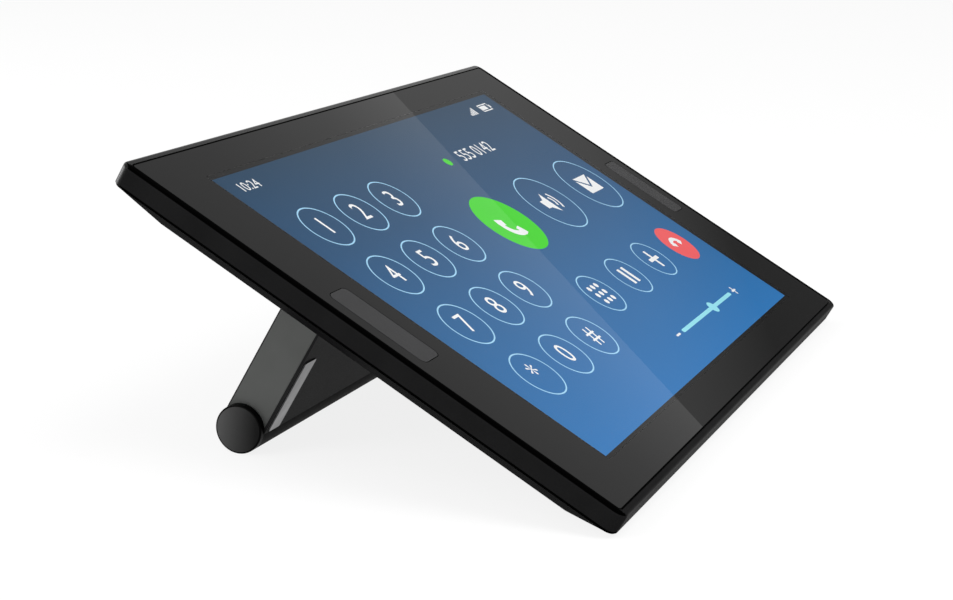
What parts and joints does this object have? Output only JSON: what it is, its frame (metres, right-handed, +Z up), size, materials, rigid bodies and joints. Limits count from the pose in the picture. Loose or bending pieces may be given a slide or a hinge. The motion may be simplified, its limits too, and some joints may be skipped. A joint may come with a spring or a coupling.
{
  "type": "desk touch console",
  "caption": "Handset-free desk touch console: a wide glass-fronted screen head that leans on a folding rear leg with a round foot bar.",
  "frame": {"origin": "centre of the footprint of the whole part, on the desk", "axes": "+X to the user's right along the screen, +Y to the rear, +Z up"},
  "size_m": [0.271, 0.1472, 0.09],
  "materials": {
    "clear_glass": "polished clear glass",
    "border_black": "black print behind glass",
    "display_cell": "lit display",
    "light_guide": "clear white sheet",
    "sheet_metal": "plain sheet",
    "flex_amber": "film with copper tracks",
    "sensor_window": "dark infrared window",
    "board_green": "solder mask",
    "component_black": "moulded chip",
    "frame_black": "fine satin moulding",
    "cover_black": "fine texture moulding",
    "key_black": "satin moulding",
    "shield_steel": "tinned sheet",
    "thermal_grey": "soft gap filler",
    "screw_steel": "black zinc",
    "washer_bronze": "phosphor bronze",
    "hinge_zinc": "black die casting",
    "pin_steel": "ground pin",
    "core_aluminium": "extruded",
    "leg_black": "fine texture moulding",
    "end_grey": "satin grey",
    "badge_silver": "bare satin plate",
    "foot_rubber": "smooth rubber",
    "cap_black": "satin domed cap",
    "pad_rubber": "soft rubber"
  },
  "bodies": {
    "head": {"cover_glass": "clear_glass", "border_film": "border_black", "lcd_cell": "display_cell", "light_guide": "light_guide", "backlight_tray": "sheet_metal", "display_flex": "flex_amber", "touch_flex": "flex_amber", "sensor_screws": "screw_steel", "front_frame": "frame_black", "mid_plate": "sheet_metal", "chassis_screws": "screw_steel", "main_board": "board_green", "board_components": "component_black", "soc_shield": "shield_steel", "thermal_pad": "thermal_grey", "board_screws": "screw_steel", "usb_c_socket": "shield_steel", "port_board": "board_green", "port_flex": "flex_amber", "port_screws": "screw_steel", "power_switch": "component_black", "rear_cover": "cover_black", "cover_screws": "screw_steel", "hinge_screws": "screw_steel", "sensor_window_left": "sensor_window", "sensor_board_left": "board_green", "sensor_cable_left": "flex_amber", "front_pad_left": "pad_rubber", "hinge_bracket_left": "hinge_zinc", "sensor_window_right": "sensor_window", "sensor_board_right": "board_green", "sensor_cable_right": "flex_amber", "front_pad_right": "pad_rubber", "hinge_bracket_right": "hinge_zinc"},
    "stand": {"friction_washers": "washer_bronze", "stand_core": "core_aluminium", "leg_front_cover": "leg_black", "leg_back_cover": "leg_black", "leg_screws": "screw_steel", "badge_plate": "badge_silver", "foot_sleeve": "foot_rubber", "hinge_pin_left": "pin_steel", "leg_end_plate_left": "end_grey", "foot_cap_left": "cap_black", "hinge_pin_right": "pin_steel", "leg_end_plate_right": "end_grey", "foot_cap_right": "cap_black"},
    "power_key": {"power_key": "key_black"}
  },
  "joints": [
    {"name": "stand_fold", "type": "hinge", "parent": "head", "child": "stand", "pos_m": [0, 0.03274, 0.04478], "axis": [-1, 0, 0], "range_deg": [0, 90]},
    {"name": "power_press", "type": "slide", "parent": "head", "child": "power_key", "axis": [0, -0.8652, -0.5015], "range_m": [0, 0.0005], "stiffness_N_per_m": 2000}
  ]
}
